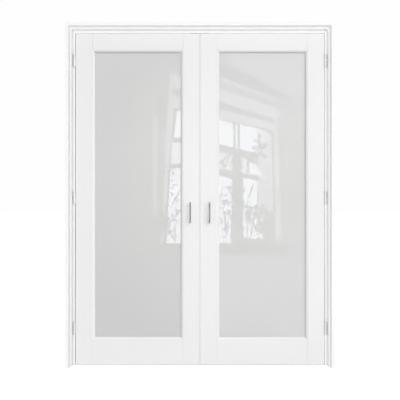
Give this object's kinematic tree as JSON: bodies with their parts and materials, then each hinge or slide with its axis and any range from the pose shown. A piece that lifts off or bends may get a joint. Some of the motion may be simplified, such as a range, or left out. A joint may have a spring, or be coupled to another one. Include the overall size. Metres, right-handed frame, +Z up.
{
  "type": "french doors",
  "caption": "Pair of white glazed doors with frosted panes and slim vertical pulls, hung on butt hinges in their own stepped and mitred frame.",
  "frame": {"origin": "on the floor at the middle of the unit: the centre of the bounding box's bottom face", "axes": "+Z up, -Y out of the front (the side the doors open towards), +X to the right as seen from the front"},
  "size_m": [1.623, 0.13, 2.085],
  "materials": {
    "frame_paint": "satin white paint",
    "door_paint": "satin white paint",
    "frosted_glass": "frosted, with a polished front",
    "satin_nickel": "satin nickel plate",
    "dark_nickel": "dark brushed nickel plate",
    "screw_steel": "zinc plated",
    "spring_steel": "bright wire",
    "seal_rubber": "matte"
  },
  "bodies": {
    "frame": {"head_jamb": "frame_paint", "head_stop": "frame_paint", "head_stop_seal": "seal_rubber", "hinge_pins": "satin_nickel", "frame_hinge_screws": "screw_steel", "strike_screws": "screw_steel", "corner_screws": "screw_steel", "left_jamb": "frame_paint", "left_stop": "frame_paint", "left_stop_seal": "seal_rubber", "left_strike_plate": "satin_nickel", "left_top_hinge_frame_leaf": "satin_nickel", "left_middle_hinge_frame_leaf": "satin_nickel", "left_bottom_hinge_frame_leaf": "satin_nickel", "right_jamb": "frame_paint", "right_stop": "frame_paint", "right_stop_seal": "seal_rubber", "right_strike_plate": "satin_nickel", "right_top_hinge_frame_leaf": "satin_nickel", "right_middle_hinge_frame_leaf": "satin_nickel", "right_bottom_hinge_frame_leaf": "satin_nickel"},
    "left_door": {"left_hinge_stile": "door_paint", "left_meeting_stile": "door_paint", "left_top_rail": "door_paint", "left_bottom_rail": "door_paint", "left_glass": "frosted_glass", "left_hinge_side_bead": "door_paint", "left_meeting_side_bead": "door_paint", "left_top_bead": "door_paint", "left_bottom_bead": "door_paint", "left_front_pull": "dark_nickel", "left_back_pull": "dark_nickel", "left_pull_studs": "screw_steel", "left_catch_housing": "satin_nickel", "left_catch_spring": "spring_steel", "left_door_hinge_screws": "screw_steel", "left_top_hinge_door_leaf": "satin_nickel", "left_middle_hinge_door_leaf": "satin_nickel", "left_bottom_hinge_door_leaf": "satin_nickel", "meeting_seal": "seal_rubber"},
    "right_door": {"right_hinge_stile": "door_paint", "right_meeting_stile": "door_paint", "right_top_rail": "door_paint", "right_bottom_rail": "door_paint", "right_glass": "frosted_glass", "right_hinge_side_bead": "door_paint", "right_meeting_side_bead": "door_paint", "right_top_bead": "door_paint", "right_bottom_bead": "door_paint", "right_front_pull": "dark_nickel", "right_back_pull": "dark_nickel", "right_pull_studs": "screw_steel", "right_catch_housing": "satin_nickel", "right_catch_spring": "spring_steel", "right_door_hinge_screws": "screw_steel", "right_top_hinge_door_leaf": "satin_nickel", "right_middle_hinge_door_leaf": "satin_nickel", "right_bottom_hinge_door_leaf": "satin_nickel"},
    "left_ball": {"left_catch_ball": "satin_nickel"},
    "right_ball": {"right_catch_ball": "satin_nickel"}
  },
  "joints": [
    {"name": "left_swing", "type": "hinge", "parent": "frame", "child": "left_door", "pos_m": [-0.7685, -0.01, 0], "axis": [0, 0, -1], "range_deg": [0, 110]},
    {"name": "right_swing", "type": "hinge", "parent": "frame", "child": "right_door", "pos_m": [0.7685, -0.01, 0], "axis": [0, 0, 1], "range_deg": [0, 110]},
    {"name": "left_ball_slide", "type": "slide", "parent": "left_door", "child": "left_ball", "axis": [0, 0, 1], "range_m": [-0.0025, 0], "stiffness_N_per_m": 1500, "springref_m": 0.003, "deforming": ["left_catch_spring"]},
    {"name": "right_ball_slide", "type": "slide", "parent": "right_door", "child": "right_ball", "axis": [0, 0, 1], "range_m": [-0.0025, 0], "stiffness_N_per_m": 1500, "springref_m": 0.003, "deforming": ["right_catch_spring"]}
  ]
}
